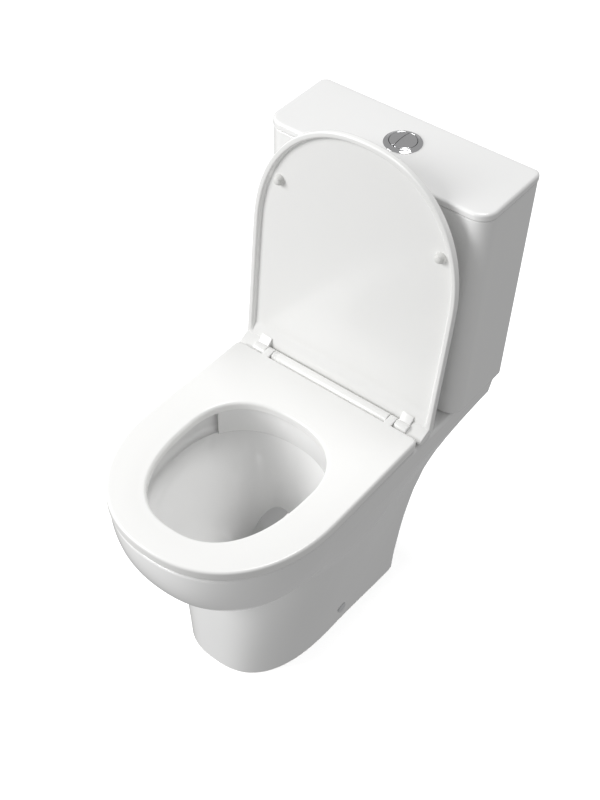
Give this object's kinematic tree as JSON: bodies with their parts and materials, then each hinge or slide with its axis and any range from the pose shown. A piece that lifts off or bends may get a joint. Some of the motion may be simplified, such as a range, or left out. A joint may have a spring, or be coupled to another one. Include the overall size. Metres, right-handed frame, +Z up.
{
  "type": "close coupled toilet",
  "caption": "Close coupled toilet: oval pan on a pedestal, cistern on its deck with a two-part flush button, hinged seat ring and raised cover.",
  "frame": {"origin": "on the floor below the middle of the object's bounding box", "axes": "+X to the right seen from the front, +Y towards the wall behind, +Z up; the seat's front tip points along -Y"},
  "size_m": [0.3844, 0.6465, 0.8573],
  "materials": {
    "vitreous_china": "gloss",
    "seat_plastic": "gloss",
    "chrome": "polished",
    "valve_plastic": "satin",
    "valve_plastic_blue": "satin",
    "rubber": "matte",
    "buffer_rubber": "matte",
    "brass": "satin",
    "steel": "brushed",
    "cap_grey": "satin",
    "black_plastic": "satin"
  },
  "bodies": {
    "pan_and_cistern": {"pan": "vitreous_china", "cistern": "vitreous_china", "cistern_cover": "vitreous_china", "button_bezel": "chrome", "bezel_nut": "valve_plastic", "full_spring": "steel", "half_spring": "steel", "flush_valve_base": "valve_plastic", "flush_valve_cage": "valve_plastic", "flush_valve_nut": "black_plastic", "doughnut_washer": "rubber", "fill_valve_body": "valve_plastic", "fill_valve_head": "black_plastic", "inlet_washer": "rubber", "inlet_nut": "brass", "hinge_bar": "seat_plastic", "cistern_bolt_left": "steel", "cistern_bolt_right": "steel", "cistern_bolt_seal_left": "rubber", "cistern_bolt_seal_right": "rubber", "cistern_bolt_washer_left": "steel", "cistern_bolt_washer_right": "steel", "cistern_wing_nut_left": "black_plastic", "cistern_wing_nut_right": "black_plastic", "seat_bolt_left": "steel", "seat_bolt_right": "steel", "seat_bolt_washer_left": "rubber", "seat_bolt_washer_right": "rubber", "seat_wing_nut_left": "black_plastic", "seat_wing_nut_right": "black_plastic", "hinge_damper_left": "black_plastic", "hinge_damper_right": "black_plastic", "hinge_pin_left": "steel", "hinge_pin_right": "steel", "floor_bracket_left": "steel", "floor_bracket_right": "steel", "side_screw_left": "steel", "side_screw_right": "steel", "side_cap_left": "cap_grey", "side_cap_right": "cap_grey"},
    "lid": {"seat_cover": "seat_plastic", "cover_buffers": "buffer_rubber"},
    "seat_ring": {"seat": "seat_plastic", "seat_buffers": "buffer_rubber"},
    "full_flush": {"full_button": "chrome", "full_push_rod": "valve_plastic_blue"},
    "half_flush": {"half_button": "chrome", "half_push_rod": "valve_plastic"},
    "riser": {"riser_tube": "valve_plastic_blue", "flush_seal": "rubber"},
    "float": {"float_cup": "valve_plastic_blue", "float_rod": "steel"},
    "fill_lever": {"fill_lever": "valve_plastic_blue"}
  },
  "joints": [
    {"name": "cover_hinge", "type": "hinge", "parent": "pan_and_cistern", "child": "lid", "pos_m": [0, 0.111, 0.424], "axis": [-1, 0, 0], "range_deg": [-95, 0]},
    {"name": "seat_hinge", "type": "hinge", "parent": "pan_and_cistern", "child": "seat_ring", "pos_m": [0, 0.111, 0.424], "axis": [-1, 0, 0], "range_deg": [0, 95]},
    {"name": "full_flush_slide", "type": "slide", "parent": "pan_and_cistern", "child": "full_flush", "axis": [0, 0, -1], "range_m": [0, 0.008], "stiffness_N_per_m": 400, "springref_m": -0.004, "deforming": ["full_spring"]},
    {"name": "half_flush_slide", "type": "slide", "parent": "pan_and_cistern", "child": "half_flush", "axis": [0, 0, -1], "range_m": [0, 0.008], "stiffness_N_per_m": 400, "springref_m": -0.004, "deforming": ["half_spring"]},
    {"name": "riser_slide", "type": "slide", "parent": "pan_and_cistern", "child": "riser", "axis": [0, 0, 1], "range_m": [0, 0.025]},
    {"name": "float_slide", "type": "slide", "parent": "pan_and_cistern", "child": "float", "axis": [0, 0, 1], "range_m": [0, 0.012]},
    {"name": "fill_lever_hinge", "type": "hinge", "parent": "pan_and_cistern", "child": "fill_lever", "pos_m": [-0.118, 0.26, 0.687], "axis": [0, -1, 0], "range_deg": [0, 19]}
  ],
  "couplings": [
    {"joint": "riser_slide", "follows": "full_flush_slide", "ratio": 3.125},
    {"joint": "fill_lever_hinge", "follows": "float_slide", "rad_per_m": 26.316}
  ]
}
